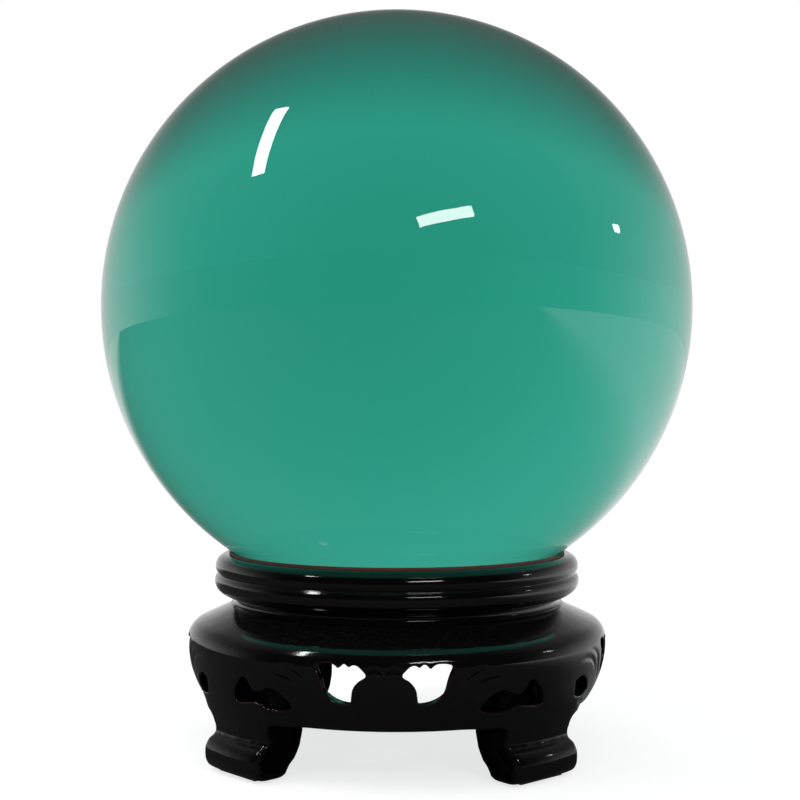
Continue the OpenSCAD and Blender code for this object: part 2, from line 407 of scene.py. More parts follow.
# %% Spin and flare the wall
# Points this near the belly's line are the wall's skin. It is moved out to meet the leg and ends a hair under
# the leg's face.
SKIN_NEAR = 0.3 * MM
SKIN_UNDER = 0.03 * MM

wall_low = APRON_Z - 3 * MM
wall_outline = (belly_line(wall_low, BLOCK_TOP)
                + [(BELLY_R - WALL, BLOCK_TOP), (BELLY_R - WALL - 2 * MM, wall_low)])
block = spun("block", wall_outline, steps=57, start=-5, sweep=57)
for point in block.data.vertices:
    r, angle = math.hypot(point.co.x, point.co.y), math.degrees(math.atan2(point.co.y, point.co.x))
    if abs(r - belly(point.co.z)) < SKIN_NEAR:
        k = (outside(angle, point.co.z) - SKIN_UNDER) / r
        point.co.x, point.co.y = k * point.co.x, k * point.co.y

# %% [markdown]
# The leg is spun too, from its side view, and then cut to its width. A second box with round edges takes
# the leg's outer corners off, seen from above.

# %% Spin the leg and cut its sides
def leg_box(length, from_axis, edge_round=0.0):
    """A box as wide as the leg, standing at the leg's azimuth."""
    bpy.ops.mesh.primitive_cube_add(size=1, location=(from_axis, 0, 20 * MM))
    made = bpy.context.active_object
    made.scale = (length, LEG_W, 60 * MM)
    bpy.ops.object.transform_apply(location=True, rotation=True, scale=True)
    if edge_round:
        edit(made)
        bpy.ops.mesh.bevel(offset=edge_round, segments=8, affect="EDGES")
        leave_edit()
    made.rotation_euler.z = math.radians(LEG_AZIMUTH)
    bpy.ops.object.transform_apply(location=True, rotation=True, scale=True)
    return made


heights = [LEG_LOW + (BLOCK_TOP - LEG_LOW) * i / 60 for i in range(61)]
leg_outline = ([(leg_face(z), z) for z in heights] + [(LEG_BACK, BLOCK_TOP), (LEG_BACK, BACK_BEND_Z)]
               + pulled((LEG_BACK, BACK_BEND_Z), (LEG_BACK, TOE_PULL_Z), (toe_at[0] - TOE_R, toe_at[1]), 10)
               + arc(toe_at, TOE_R, 180, 270, 8) + arc(front_at, LIP_R, -90, 0, 10)
               + arc(scroll_at, SCROLL_R, 0, 68, 14))
leg_blank = spun("leg_blank", leg_outline, steps=36, start=27, sweep=36)
leg_sides = leg_box(40 * MM, 50 * MM)
combine(leg_blank, "INTERSECT", leg_sides)
round_corners = leg_box(24 * MM, 42.6 * MM, CORNER_R)
combine(leg_blank, "INTERSECT", round_corners)
remove(round_corners)
remeshed(leg_blank, 0.5)
softened(leg_blank, 10)
combine(block, "UNION", leg_blank)
remove(leg_blank)
print("rough block", triangles(block), "triangles")

# %% [markdown]
# ## Saw and gouge
# Two kinds of cut do all the carving. A fretsaw cuts an outline straight through the wall. A gouge runs
# along the surface and leaves a round groove, deep in its middle and running out at its ends. Points are
# written as the angle from the apron's middle and the height above the table.

# %% The fretsaw
def saw(name, outline, azimuth, inner, outer):
    """A prism with this outline of (across, height), that reaches from inner to outer along the azimuth."""
    cut = drawn(name, outline, plane="YZ")
    edit(cut)
    bpy.ops.mesh.edge_face_add()
    bpy.ops.transform.translate(value=(inner, 0, 0))
    bpy.ops.mesh.extrude_region_move(TRANSFORM_OT_translate={"value": (outer - inner, 0, 0)})
    leave_edit()
    cut.rotation_euler.z = math.radians(azimuth)
    only(cut)
    bpy.ops.object.transform_apply(location=True, rotation=True, scale=True)
    tidy_normals(cut)
    return cut


def fretwork(name, points, azimuth, inner=44 * MM, outer=60 * MM, steps=3):
    """A sawn opening whose outline is given as (angle, height)."""
    flat = []
    for angle, height in points:
        r = belly(height * MM) / MM
        flat.append((r * math.sin(math.radians(angle - azimuth)), height))
    closed = flowing(flat[-1:] + flat + flat[:2], steps)
    return saw(name, closed[steps:-steps - 1], azimuth, inner, outer)

# %% The gouge
def on_face(angle, height, lift):
    """The place on the outside at this angle and height, lifted off it. Lengths in millimetres."""
    r = outside(abs(angle), height * MM) + lift * MM
    turn = math.radians(angle)
    return (r * math.cos(turn), r * math.sin(turn), height * MM)


def gouge(name, places, radius):
    """A tapered round bar through these places, for cutting a groove. Lengths in millimetres."""
    curve = bpy.data.curves.new(name, "CURVE")
    curve.dimensions = "3D"
    curve.bevel_depth = radius * MM
    curve.bevel_resolution = 3
    curve.use_fill_caps = True
    line = curve.splines.new("POLY")
    line.points.add(len(places) - 1)
    for i, place in enumerate(places):
        t = i / (len(places) - 1)
        line.points[i].co = (*place, 1)
        line.points[i].radius = 0.35 + 0.65 * math.sin(math.pi * min(max(t, 0.04), 0.96)) ** 0.5
    bar = bpy.data.objects.new(name, curve)
    bpy.context.collection.objects.link(bar)
    only(bar)
    bpy.ops.object.convert(target="MESH")
    return bpy.context.active_object


def groove(name, points, radius=0.95, lift=0.55, steps=6):
    """A gouge along the belly, through points of (angle, height)."""
    way = flowing(points, steps)
    return gouge(name, [on_face(a / MM, z / MM, lift) for a, z in way], radius)


def cut_away(piece, *cutters):
    """Takes each cutter away from the piece and removes it."""
    for cutter in cutters:
        combine(piece, "DIFFERENCE", cutter)
        remove(cutter)


# %% [markdown]
# ## The carving
# Under the wall goes an arch that ends in a small rounded bracket at the leg. Beside the middle is a
# tulip-shaped opening with a scalloped top. Next to the leg is a leaf that is pierced through the apron
# and goes on as a recess in the leg's face. Shallow grooves draw the cloud scrolls between them.

# %% Cut the arch
# The outline goes on below the wall and past its end, where there is no wood.
bracket = 2.4 * MM
side_y = -LEG_W / 2
arch_outline = (
    [(side_y, APRON_Z - bracket - 0.01 * MM)]
    + arc((side_y - bracket, APRON_Z - bracket), bracket, 0, 90, 10)
    + [(-70 * MM, APRON_Z), (-70 * MM, 5 * MM), (side_y, 5 * MM)])
cut_away(block, saw("arch", arch_outline, LEG_AZIMUTH, 20 * MM, 75 * MM))

# %% Draw the tulip and the leaf
TULIP_ANGLE, TULIP_HEIGHT = 11.5, 25
LEAF_ANGLE = 34
tulip = [(17.0, 28.9), (15.6, 29.5), (13.4, 29.6), (12.1, 29.2), (11.3, 28.5), (10.6, 29.2), (9.7, 29.6),
         (8.6, 28.8), (7.7, 29.4), (6.4, 29.1), (5.4, 28.3), (4.4, 26.9), (6.2, 25.8), (7.5, 24.5),
         (8.1, 23.0), (8.5, 20.7), (10.4, 20.4), (12.4, 20.9), (14.2, 22.2), (15.1, 23.6), (15.7, 25.8),
         (16.3, 27.4)]
leaf_upper = [(24.3, 18.7), (26.2, 20.9), (28.4, 22.2), (30.8, 22.6), (33.0, 21.8), (35.2, 21.3),
              (36.9, 22.3), (38.0, 24.0), (39.6, 24.3), (41.2, 22.9)]
leaf_lower = [(42.9, 20.9), (43.2, 18.9), (41.4, 18.3), (38.3, 18.6), (35.2, 18.9), (31.8, 18.0),
              (28.4, 17.7), (25.8, 18.0)]
leaf = leaf_upper + leaf_lower

# %% Saw the openings
# From behind, the tulip is cut wider, so that only a thin lip is left round it.
WIDER, TALLER = 1.45, 1.08
LIP = 2.6 * MM
behind = [(TULIP_ANGLE + WIDER * (angle - TULIP_ANGLE), TULIP_HEIGHT + TALLER * (height - TULIP_HEIGHT))
          for angle, height in tulip]

through = fretwork("through", leaf, LEAF_ANGLE)
combine(through, "DIFFERENCE", leg_sides)
cut_away(block, fretwork("tulip", tulip, TULIP_ANGLE),
         fretwork("behind", behind, TULIP_ANGLE, outer=BELLY_R - LIP), through)
remove(leg_sides)

# %% Gouge the grooves
bow = [(5.2, 26.5), (3.9, 28.0), (2.3, 28.7), (0.9, 28.1), (0, 26.9)]
cut_away(
    block,
    groove("bow_right", bow),
    groove("bow_left", [(-angle, height) for angle, height in bow]),
    groove("stem", [(9.4, 21.2), (9.3, 19.6), (8.5, 18.2), (7.0, 17.6)]),
    groove("cloud", [(12.6, 18.8), (15.6, 19.7), (17.5, 22.1), (18.6, 24.6), (20.8, 26.8), (24.4, 28.3),
                     (29.5, 28.9)]),
    groove("cloud_inner", [(20.6, 21.6), (21.8, 24.0), (24.6, 25.9), (28.6, 26.6), (32.6, 26.1)]),
    groove("under_leaf", [(25.5, 16.6), (28.5, 16.2), (31.5, 16.4)]))

print("carved block", triangles(block), "triangles")

# %% [markdown]
# The recess in the leg is 6 mm deep. Its cutter is the same leaf outline with a core taken out, so that
# it only bites into the skin. A leg gets it on the side towards the front or back apron, and its other
# side stays plain. The block is remeshed before this cut: its small, even faces make a clean closed
# solid for it.

# %% Cut the recess
remeshed(block)
leaf_block = copied(block, "leaf_block")
RECESS_DEPTH = 6 * MM
CORE_INNER = 30 * MM
core_line = [(leg_face(z) - RECESS_DEPTH, z) for z in heights]
core_outline = [(CORE_INNER, LEG_LOW)] + core_line + [(CORE_INNER, BLOCK_TOP)]
core = spun("core", core_outline, steps=48, start=10, sweep=50)
recess = fretwork("recess", leaf, LEAF_ANGLE, inner=42 * MM)
combine(recess, "DIFFERENCE", core)
combine(leaf_block, "DIFFERENCE", recess, solver="MANIFOLD")
remove(core, recess)
remeshed(leaf_block)

# %% [markdown]
# ## Thick lacquer
# The even faces are a quarter of a millimetre wide. Smoothing them rounds every edge as the layers of
# lacquer do.

# %% Soften the edges
for piece in (block, leaf_block):
    softened(piece, 9)
    print(piece.name, triangles(piece), "triangles")

# %% [markdown]
# ## Saw the block into pieces
# A straight cut leaves the wanted side and closes it with a flat face. The cuts lie on the joint under
# the shoulder, on the middle of the apron, on the middle of the leg and on the leg's side. Then copies
# are mirrored and turned.

# %% Helpers for halves
def sliced(piece, name, cuts):
    """A copy of piece, cut by planes. Each cut is (point, direction of the part that goes, close)."""
    made = copied(piece, name)
    for point, away, close in cuts:
        edit(made)
        bpy.ops.mesh.bisect(plane_co=point, plane_no=away, use_fill=close, clear_outer=True)
        leave_edit()
    return made


def mirrored(piece, name, azimuth):
    """A mirror image across the upright plane at this azimuth."""
    made = copied(piece, name)
    turn = Matrix.Rotation(math.radians(azimuth), 4, "Z")
    made.data.transform(turn @ Matrix.Scale(-1, 4, (0, 1, 0)) @ turn.inverted())
    made.data.flip_normals()
    return made


def joined(name, *halves):
    """One piece made of these halves, with the points on their seam merged."""
    bpy.ops.object.select_all(action="DESELECT")
    for half in halves:
        half.select_set(True)
    bpy.context.view_layer.objects.active = halves[0]
    bpy.ops.object.join()
    made = bpy.context.active_object
    made.name = name
    edit(made)
    bpy.ops.mesh.remove_doubles(threshold=0.004 * MM)
    leave_edit()
    return made


def along(azimuth):
    """The level direction at this azimuth."""
    return (math.cos(math.radians(azimuth)), math.sin(math.radians(azimuth)), 0)

# %% Cut and mirror
joint_cut = ((0, 0, JOINT_Z), (0, 0, 1), True)
middle_cut = ((0, 0, 0), (0, -1, 0), False)
leg_middle_cut = ((0, 0, 0), along(135), False)
side_point = tuple(LEG_W / 2 * v for v in along(-45))
apron_end_cut = (side_point, along(135), True)
leg_end_cut = (side_point, along(-45), True)

apron_half = sliced(block, "apron_half", [middle_cut, joint_cut, apron_end_cut])
plain_half = sliced(block, "plain_half", [leg_middle_cut, joint_cut, leg_end_cut])
leaf_half = sliced(leaf_block, "leaf_half", [leg_middle_cut, joint_cut, leg_end_cut])
remove(block, leaf_block)

apron_0 = joined("apron_carved", apron_half, mirrored(apron_half, "other_half", 0))
leg_a = joined("leg_a", leaf_half, mirrored(plain_half, "other_plain", 45))
leg_b = mirrored(leg_a, "leg_b", 45)
remove(plain_half)
for piece in (apron_0, leg_a, leg_b):
    smooth(piece, 40)
    print(piece.name, triangles(piece), "triangles")

# %% Place the aprons and legs
carved = []
for name, azimuth in (("front", -90), ("right", 0), ("back", 90), ("left", 180)):
    piece = copy_turned(apron_0, "carved_apron_" + name, azimuth)
    carved.append(piece)
    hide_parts("apron_" + name)
for name, source, turn in (("front_right", leg_a, -90), ("back_right", leg_b, 0), ("back_left", leg_a, 90),
                           ("front_left", leg_b, 180)):
    piece = copy_turned(source, "carved_leg_" + name, turn)
    carved.append(piece)
    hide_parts("leg_" + name)
remove(apron_0, leg_a, leg_b)

# %% [markdown]
# ## Felt pads and dowels
# Under each foot is a thin felt pad with softened edges. The dowels stay as the frame has them, because
# glue hides them inside the wood.

# %% Make the pads
PAD_W = LEG_W - 7 * MM
PAD_ROUND = 0.12 * MM
low, high = toe_at[0] - 0.2 * MM, front_at[0] - 0.3 * MM
pads = []
for name, azimuth in (("front_right", -45), ("back_right", 45), ("back_left", 135), ("front_left", -135)):
    bpy.ops.mesh.primitive_cube_add(size=1, location=((low + high) / 2, 0, SOLE_Z / 2))
    pad = bpy.context.active_object
    pad.name = "felt_pad_" + name
    pad.scale = (high - low, PAD_W, SOLE_Z)
    bpy.ops.object.transform_apply(location=True, rotation=True, scale=True)
    edit(pad)
    bpy.ops.mesh.bevel(offset=PAD_ROUND, segments=2, affect="EDGES")
    leave_edit()
    pad.rotation_euler.z = math.radians(azimuth)
    bpy.ops.object.transform_apply(location=True, rotation=True, scale=True)
    smooth(pad)
    pads.append(pad)
    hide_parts("foot_pad_" + name)

# %% [markdown]
# ## What moves with what
# The ball lifts off. Everything else is glued to the stand.

# %% Hand the pieces to the frame
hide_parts("ball")
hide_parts("top_ring")
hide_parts("waist_ring")
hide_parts("shoulder_ring")
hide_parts("seat_lining")
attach(glass_ball, "ball")
for piece in [rim, neck, shoulder, felt] + carved + pads:
    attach(piece, "stand")

# %% [markdown]
# ## Where the lacquer is thin
# Lacquer creeps away from sharp edges while it is wet, and hands polish it there. The wood's red-brown
# shows through faintly. To know the edges, each point of the mesh gets a number for how sharply the
# surface turns there: near 0 on the flat and near 1 on a tight outward bend.

# %% Measure the bends
def mark_thin(piece, from_bend=520.0, to_bend=2200.0):
    """Stores 'thin' on each point, from the surface's mean bend in turns per metre."""
    mesh = piece.data
    points = np.empty(len(mesh.vertices) * 3)
    mesh.vertices.foreach_get("co", points)
    points = points.reshape(-1, 3)
    normals = np.empty(len(mesh.vertices) * 3)
    mesh.vertices.foreach_get("normal", normals)
    normals = normals.reshape(-1, 3)
    ends = np.empty(len(mesh.edges) * 2, dtype=np.int64)
    mesh.edges.foreach_get("vertices", ends)
    a, b = ends.reshape(-1, 2).T
    total = np.zeros(len(points))
    count = np.zeros(len(points))
    for here, there in ((a, b), (b, a)):
        step = points[here] - points[there]
        length2 = np.maximum((step ** 2).sum(1), 1e-12)
        np.add.at(total, here, (normals[here] * step).sum(1) / length2)
        np.add.at(count, here, 1)
    bend = 2 * total / np.maximum(count, 1)
    for _ in range(3):
        mixed = np.zeros(len(points))
        np.add.at(mixed, a, bend[b])
        np.add.at(mixed, b, bend[a])
        bend = 0.5 * bend + 0.5 * mixed / np.maximum(count, 1)
    thin = np.clip((bend - from_bend) / (to_bend - from_bend), 0, 1)
    layer = mesh.attributes.new("thin", "FLOAT", "POINT")
    layer.data.foreach_set("value", thin.astype(np.float32))
    print(piece.name, "thin lacquer on", round(100 * float((thin > 0.3).mean()), 1), "% of its points")


for piece in [rim, neck, shoulder] + carved:
    mark_thin(piece)

# %% [markdown]
# ## Finishes as node groups
# An effect that several finishes share is built once as a group with named inputs. Each finish then
# places the group and gives it its own values.

# %% Helpers for nodes
def new_group(name, inputs, outputs):
    tree = bpy.data.node_groups.new(name, "ShaderNodeTree")
    for label, kind, value in inputs:
        socket = tree.interface.new_socket(name=label, in_out="INPUT", socket_type=kind)
        socket.default_value = value
    for label, kind in outputs:
        tree.interface.new_socket(name=label, in_out="OUTPUT", socket_type=kind)
    return tree, tree.nodes.new("NodeGroupInput"), tree.nodes.new("NodeGroupOutput")


def node(tree, kind, **settings):
    made = tree.nodes.new(kind)
    for name, value in settings.items():
        if hasattr(made, name):
            setattr(made, name, value)
        else:
            made.inputs[name.replace("_", " ")].default_value = value
    return made


FLOAT, COLOUR = "NodeSocketFloat", "NodeSocketColor"

# %% Hand-brushed unevenness
unevenness, given, out = new_group(
    "Hand-brushed unevenness",
    [("Wave size", FLOAT, 40.0), ("Fine size", FLOAT, 400.0), ("Fine share", FLOAT, 0.15)],
    [("Height", FLOAT)])
where = node(unevenness, "ShaderNodeTexCoord")
waves = node(unevenness, "ShaderNodeTexNoise", Detail=2.0, Roughness=0.45)
fine = node(unevenness, "ShaderNodeTexNoise", Detail=3.0, Roughness=0.5)
share = node(unevenness, "ShaderNodeMath", operation="MULTIPLY_ADD")
for texture, size in ((waves, "Wave size"), (fine, "Fine size")):
    unevenness.links.new(where.outputs["Object"], texture.inputs["Vector"])
    unevenness.links.new(given.outputs[size], texture.inputs["Scale"])
unevenness.links.new(fine.outputs["Fac"], share.inputs[0])
unevenness.links.new(given.outputs["Fine share"], share.inputs[1])
unevenness.links.new(waves.outputs["Fac"], share.inputs[2])
unevenness.links.new(share.outputs[0], out.inputs["Height"])

# %% Thin at the edges
edges, given, out = new_group(
    "Thin at the edges", [("Cover", COLOUR, (0, 0, 0, 1)), ("Under", COLOUR, (0.1, 0.02, 0.01, 1)),
                          ("Thinness", FLOAT, 0.0), ("Patch size", FLOAT, 160.0)],
    [("Colour", COLOUR), ("Mask", FLOAT)])
where = node(edges, "ShaderNodeTexCoord")
patches = node(edges, "ShaderNodeTexNoise", Detail=4.0, Roughness=0.6)
spread = node(edges, "ShaderNodeMapRange", From_Min=0.38, From_Max=0.66)
both = node(edges, "ShaderNodeMath", operation="MULTIPLY")
mix = node(edges, "ShaderNodeMix", data_type="RGBA")
edges.links.new(where.outputs["Object"], patches.inputs["Vector"])
edges.links.new(given.outputs["Patch size"], patches.inputs["Scale"])
edges.links.new(patches.outputs["Fac"], spread.inputs["Value"])
edges.links.new(spread.outputs["Result"], both.inputs[0])
edges.links.new(given.outputs["Thinness"], both.inputs[1])
edges.links.new(both.outputs[0], mix.inputs["Factor"])
edges.links.new(given.outputs["Cover"], mix.inputs["A"])
edges.links.new(given.outputs["Under"], mix.inputs["B"])
edges.links.new(mix.outputs["Result"], out.inputs["Colour"])
edges.links.new(both.outputs[0], out.inputs["Mask"])

# %% Settled dust
dust, given, out = new_group(
    "Settled dust", [("Amount", FLOAT, 0.2), ("Speck size", FLOAT, 900.0)], [("Mask", FLOAT)])
where = node(dust, "ShaderNodeTexCoord")
facing = node(dust, "ShaderNodeNewGeometry")
split = node(dust, "ShaderNodeSeparateXYZ")
upward = node(dust, "ShaderNodeMapRange", From_Min=0.35, From_Max=1.0)
specks = node(dust, "ShaderNodeTexNoise", Detail=5.0, Roughness=0.7)
sparse = node(dust, "ShaderNodeMapRange", From_Min=0.52, From_Max=0.8)
settled = node(dust, "ShaderNodeMath", operation="MULTIPLY")
scaled = node(dust, "ShaderNodeMath", operation="MULTIPLY")
dust.links.new(facing.outputs["Normal"], split.inputs[0])
dust.links.new(split.outputs["Z"], upward.inputs["Value"])
dust.links.new(where.outputs["Object"], specks.inputs["Vector"])
dust.links.new(given.outputs["Speck size"], specks.inputs["Scale"])
dust.links.new(specks.outputs["Fac"], sparse.inputs["Value"])
dust.links.new(upward.outputs["Result"], settled.inputs[0])
dust.links.new(sparse.outputs["Result"], settled.inputs[1])
dust.links.new(settled.outputs[0], scaled.inputs[0])
dust.links.new(given.outputs["Amount"], scaled.inputs[1])
dust.links.new(scaled.outputs[0], out.inputs["Mask"])

# %% Felt nap
nap, given, out = new_group(
    "Felt nap", [("Dark", COLOUR, (0.05, 0.01, 0.01, 1)), ("Light", COLOUR, (0.2, 0.05, 0.04, 1)),
                 ("Fibre size", FLOAT, 2500.0)],
    [("Colour", COLOUR), ("Height", FLOAT)])
where = node(nap, "ShaderNodeTexCoord")
fibres = node(nap, "ShaderNodeTexNoise", Detail=6.0, Roughness=0.75, Distortion=1.2)
tufts = node(nap, "ShaderNodeTexNoise", Detail=2.0, Scale=300.0)
blend = node(nap, "ShaderNodeMath", operation="MULTIPLY_ADD")
blend.inputs[1].default_value = 0.4
mix = node(nap, "ShaderNodeMix", data_type="RGBA")
nap.links.new(where.outputs["Object"], fibres.inputs["Vector"])
nap.links.new(where.outputs["Object"], tufts.inputs["Vector"])
nap.links.new(given.outputs["Fibre size"], fibres.inputs["Scale"])
nap.links.new(tufts.outputs["Fac"], blend.inputs[0])
nap.links.new(fibres.outputs["Fac"], blend.inputs[2])
nap.links.new(blend.outputs[0], mix.inputs["Factor"])
nap.links.new(given.outputs["Dark"], mix.inputs["A"])
nap.links.new(given.outputs["Light"], mix.inputs["B"])
nap.links.new(mix.outputs["Result"], out.inputs["Colour"])
nap.links.new(fibres.outputs["Fac"], out.inputs["Height"])

# %% [markdown]
# ## The finishes
# **Lacquer** is nearly black and mirror-smooth, so that it shows mostly what it reflects. Its coat is
# hand-brushed: a very low, slow bump lets the reflections waver. **Glass** is clear at its surface and
# coloured all through, so the colour comes from a volume that absorbs red most: a short way through the
# rim of the ball is pale, and the long way through its middle is deep. **Felt** and **bare wood** are
# dull.

# %% Helpers for finishes
def new_material(name):
    material = bpy.data.materials.new(name)
    material.use_nodes = True
    tree = material.node_tree
    return material, tree, tree.nodes["Principled BSDF"]


def place(tree, group, **values):
    made = tree.nodes.new("ShaderNodeGroup")
    made.node_tree = group
    for name, value in values.items():
        made.inputs[name.replace("_", " ")].default_value = value
    return made


def bumped(tree, shader, height, strength, distance):
    bump = node(tree, "ShaderNodeBump", Strength=strength, Distance=distance)
    tree.links.new(height, bump.inputs["Height"])
    tree.links.new(bump.outputs["Normal"], shader.inputs["Normal"])

# %% Black lacquer
lacquer, tree, shader = new_material("black lacquer")
thin = node(tree, "ShaderNodeAttribute", attribute_name="thin")
edge = place(tree, edges, Cover=(0.0032, 0.0026, 0.0028, 1), Under=(0.05, 0.011, 0.006, 1), Patch_size=170.0)
specks = place(tree, dust, Amount=0.05, Speck_size=1300.0)
dusty = node(tree, "ShaderNodeMix", data_type="RGBA", B=(0.35, 0.33, 0.31, 1))
rough = node(tree, "ShaderNodeMath", operation="MULTIPLY_ADD")
rough.inputs[1].default_value = 0.2
rough.inputs[2].default_value = 0.085
tree.links.new(thin.outputs["Fac"], edge.inputs["Thinness"])
tree.links.new(edge.outputs["Colour"], dusty.inputs["A"])
tree.links.new(specks.outputs["Mask"], dusty.inputs["Factor"])
tree.links.new(dusty.outputs["Result"], shader.inputs["Base Color"])
tree.links.new(edge.outputs["Mask"], rough.inputs[0])
tree.links.new(rough.outputs[0], shader.inputs["Roughness"])
coat = place(tree, unevenness, Wave_size=85.0, Fine_size=900.0, Fine_share=0.12)
bumped(tree, shader, coat.outputs["Height"], 0.5, 0.00025)
shader.inputs["IOR"].default_value = 1.52

# %% Green glass
glass, tree, shader = new_material("green glass")
shader.inputs["Base Color"].default_value = (1, 1, 1, 1)
shader.inputs["Roughness"].default_value = 0.0
shader.inputs["IOR"].default_value = 1.5
shader.inputs["Transmission Weight"].default_value = 1.0
tint = node(tree, "ShaderNodeVolumeAbsorption")
tint.inputs["Color"].default_value = (0.25, 0.785, 0.715, 1)
tint.inputs["Density"].default_value = 34.0
tree.links.new(tint.outputs["Volume"], tree.nodes["Material Output"].inputs["Volume"])

# %% Felt
def felt_finish(name, dark, light, sheen):
    material, tree, shader = new_material(name)
    soft = place(tree, nap, Dark=dark, Light=light, Fibre_size=2600.0)
    tree.links.new(soft.outputs["Colour"], shader.inputs["Base Color"])
    bumped(tree, shader, soft.outputs["Height"], 0.6, 0.0002)
    shader.inputs["Roughness"].default_value = 0.95
    shader.inputs["Sheen Weight"].default_value = sheen
    return material


red_felt = felt_finish("red felt", (0.035, 0.008, 0.006, 1), (0.2, 0.05, 0.035, 1), 0.3)
grey_felt = felt_finish("grey felt", (0.02, 0.02, 0.022, 1), (0.09, 0.09, 0.1, 1), 0.2)

# %% Bare wood
bare_wood, tree, shader = new_material("bare wood")
where = node(tree, "ShaderNodeTexCoord")
stretch = node(tree, "ShaderNodeMapping")
stretch.inputs["Scale"].default_value = (1, 1, 0.06)
grain = node(tree, "ShaderNodeTexNoise", Scale=900.0, Detail=5.0, Roughness=0.6)
tones = node(tree, "ShaderNodeMix", data_type="RGBA", A=(0.36, 0.2, 0.1, 1), B=(0.62, 0.43, 0.26, 1))
tree.links.new(where.outputs["Object"], stretch.inputs["Vector"])
tree.links.new(stretch.outputs["Vector"], grain.inputs["Vector"])
tree.links.new(grain.outputs["Fac"], tones.inputs["Factor"])
tree.links.new(tones.outputs["Result"], shader.inputs["Base Color"])
bumped(tree, shader, grain.outputs["Fac"], 0.3, 0.0001)
shader.inputs["Roughness"].default_value = 0.7

# %% Put the finishes on
def finish_with(material, *pieces):
    for piece in pieces:
        piece.data.materials.clear()
        piece.data.materials.append(material)


finish_with(glass, glass_ball)
finish_with(lacquer, rim, neck, shoulder, *carved)
finish_with(red_felt, felt)
finish_with(grey_felt, *pads)
for piece in bpy.data.objects:
    if piece.name.startswith("leg_dowels"):
        for holder in piece.material_slots:
            holder.material = bare_wood
print("materials:", sorted(material.name for material in bpy.data.materials))

# %% [markdown]
# ## The camera
# The camera looks level at the side of the stand, from the height of the ball's lower half. A lens of 65
# mm from 375 mm away gives the mild perspective of a close portrait. It stands three degrees off the
# apron's middle.

# %% Set up the camera
CAMERA_AWAY = 0.375
CAMERA_ROUND = 3.0
CAMERA_HEIGHT = BALL_Z - 23.4 * MM
CAMERA_ASIDE = 0.8 * MM

aim = Matrix.Rotation(math.radians(CAMERA_ROUND), 4, "Z")
bpy.ops.object.camera_add(location=aim @ Vector((CAMERA_ASIDE, -CAMERA_AWAY, CAMERA_HEIGHT)))
camera = bpy.context.active_object
camera.name = "camera"
camera.data.sensor_width = 36.0
camera.data.lens = 65.25
camera.data.clip_start = 0.01
camera.data.clip_end = 20.0
camera.rotation_euler = (math.radians(90), 0, math.radians(CAMERA_ROUND))
bpy.context.scene.camera = camera

# %% [markdown]
# ## The table and the light
# The table is one plain white sheet, and the room behind it is as white, so that no horizon shows behind
# the object. For the eye most of the table's brightness is a glow of its own, so that only the deepest
# shade under the stand is left of the shadow. For every other ray its colour is dark, so that little
# light comes up from it to the object. Light that comes through the ball sees the table darker near the
# stand, as it is when the ball and the stand keep the light off it. A mirrored ray sees the table glow
# only behind the stand and to its right.

# %% Lay the table
bpy.ops.mesh.primitive_plane_add(size=8, location=(0, 0, 0))
table = bpy.context.active_object
table.name = "table"

EYE_TONE, OTHER_TONE = 0.41, 0.09
EYE_GLOW = 0.73

paper, tree, shader = new_material("pale table")
shader.inputs["Roughness"].default_value = 0.9
shader.inputs["Specular IOR Level"].default_value = 0.0
seen = node(tree, "ShaderNodeLightPath")
where = node(tree, "ShaderNodeTexCoord")
tone = node(tree, "ShaderNodeMath", operation="MULTIPLY_ADD")
tone.inputs[1].default_value = EYE_TONE - OTHER_TONE
tone.inputs[2].default_value = OTHER_TONE
tree.links.new(seen.outputs["Is Camera Ray"], tone.inputs[0])
tree.links.new(tone.outputs[0], shader.inputs["Base Color"])

# %% The table's glow for the eye and through the glass
distance = node(tree, "ShaderNodeVectorMath", operation="LENGTH")
fade = node(tree, "ShaderNodeMapRange", From_Min=0.05, From_Max=0.55, To_Min=0.1, To_Max=0.84)
fade.interpolation_type = "SMOOTHSTEP"
for_eye = node(tree, "ShaderNodeMath", operation="MULTIPLY")
for_eye.inputs[1].default_value = EYE_GLOW
with_glass = node(tree, "ShaderNodeMath", operation="MULTIPLY_ADD")
tree.links.new(where.outputs["Object"], distance.inputs[0])
tree.links.new(distance.outputs["Value"], fade.inputs["Value"])
tree.links.new(seen.outputs["Is Camera Ray"], for_eye.inputs[0])
tree.links.new(seen.outputs["Is Transmission Ray"], with_glass.inputs[0])
tree.links.new(fade.outputs["Result"], with_glass.inputs[1])
tree.links.new(for_eye.outputs[0], with_glass.inputs[2])

# %% The table's glow in mirrored rays
# A ray through the glass counts as a mirrored one too, so it is taken off here.
mirrored_only = node(tree, "ShaderNodeMath", operation="SUBTRACT")
mirrored_only.use_clamp = True
behind_right = node(tree, "ShaderNodeVectorMath", operation="DOT_PRODUCT")
behind_right.inputs[1].default_value = (0.7, 1, 0)
rising = node(tree, "ShaderNodeMapRange", From_Min=0.02, From_Max=0.32, To_Min=0.0, To_Max=0.9)
rising.interpolation_type = "SMOOTHSTEP"
with_mirror = node(tree, "ShaderNodeMath", operation="MULTIPLY_ADD")
tree.links.new(seen.outputs["Is Glossy Ray"], mirrored_only.inputs[0])
tree.links.new(seen.outputs["Is Transmission Ray"], mirrored_only.inputs[1])
tree.links.new(where.outputs["Object"], behind_right.inputs[0])
tree.links.new(behind_right.outputs["Value"], rising.inputs["Value"])
tree.links.new(mirrored_only.outputs[0], with_mirror.inputs[0])
tree.links.new(rising.outputs["Result"], with_mirror.inputs[1])
tree.links.new(with_glass.outputs[0], with_mirror.inputs[2])

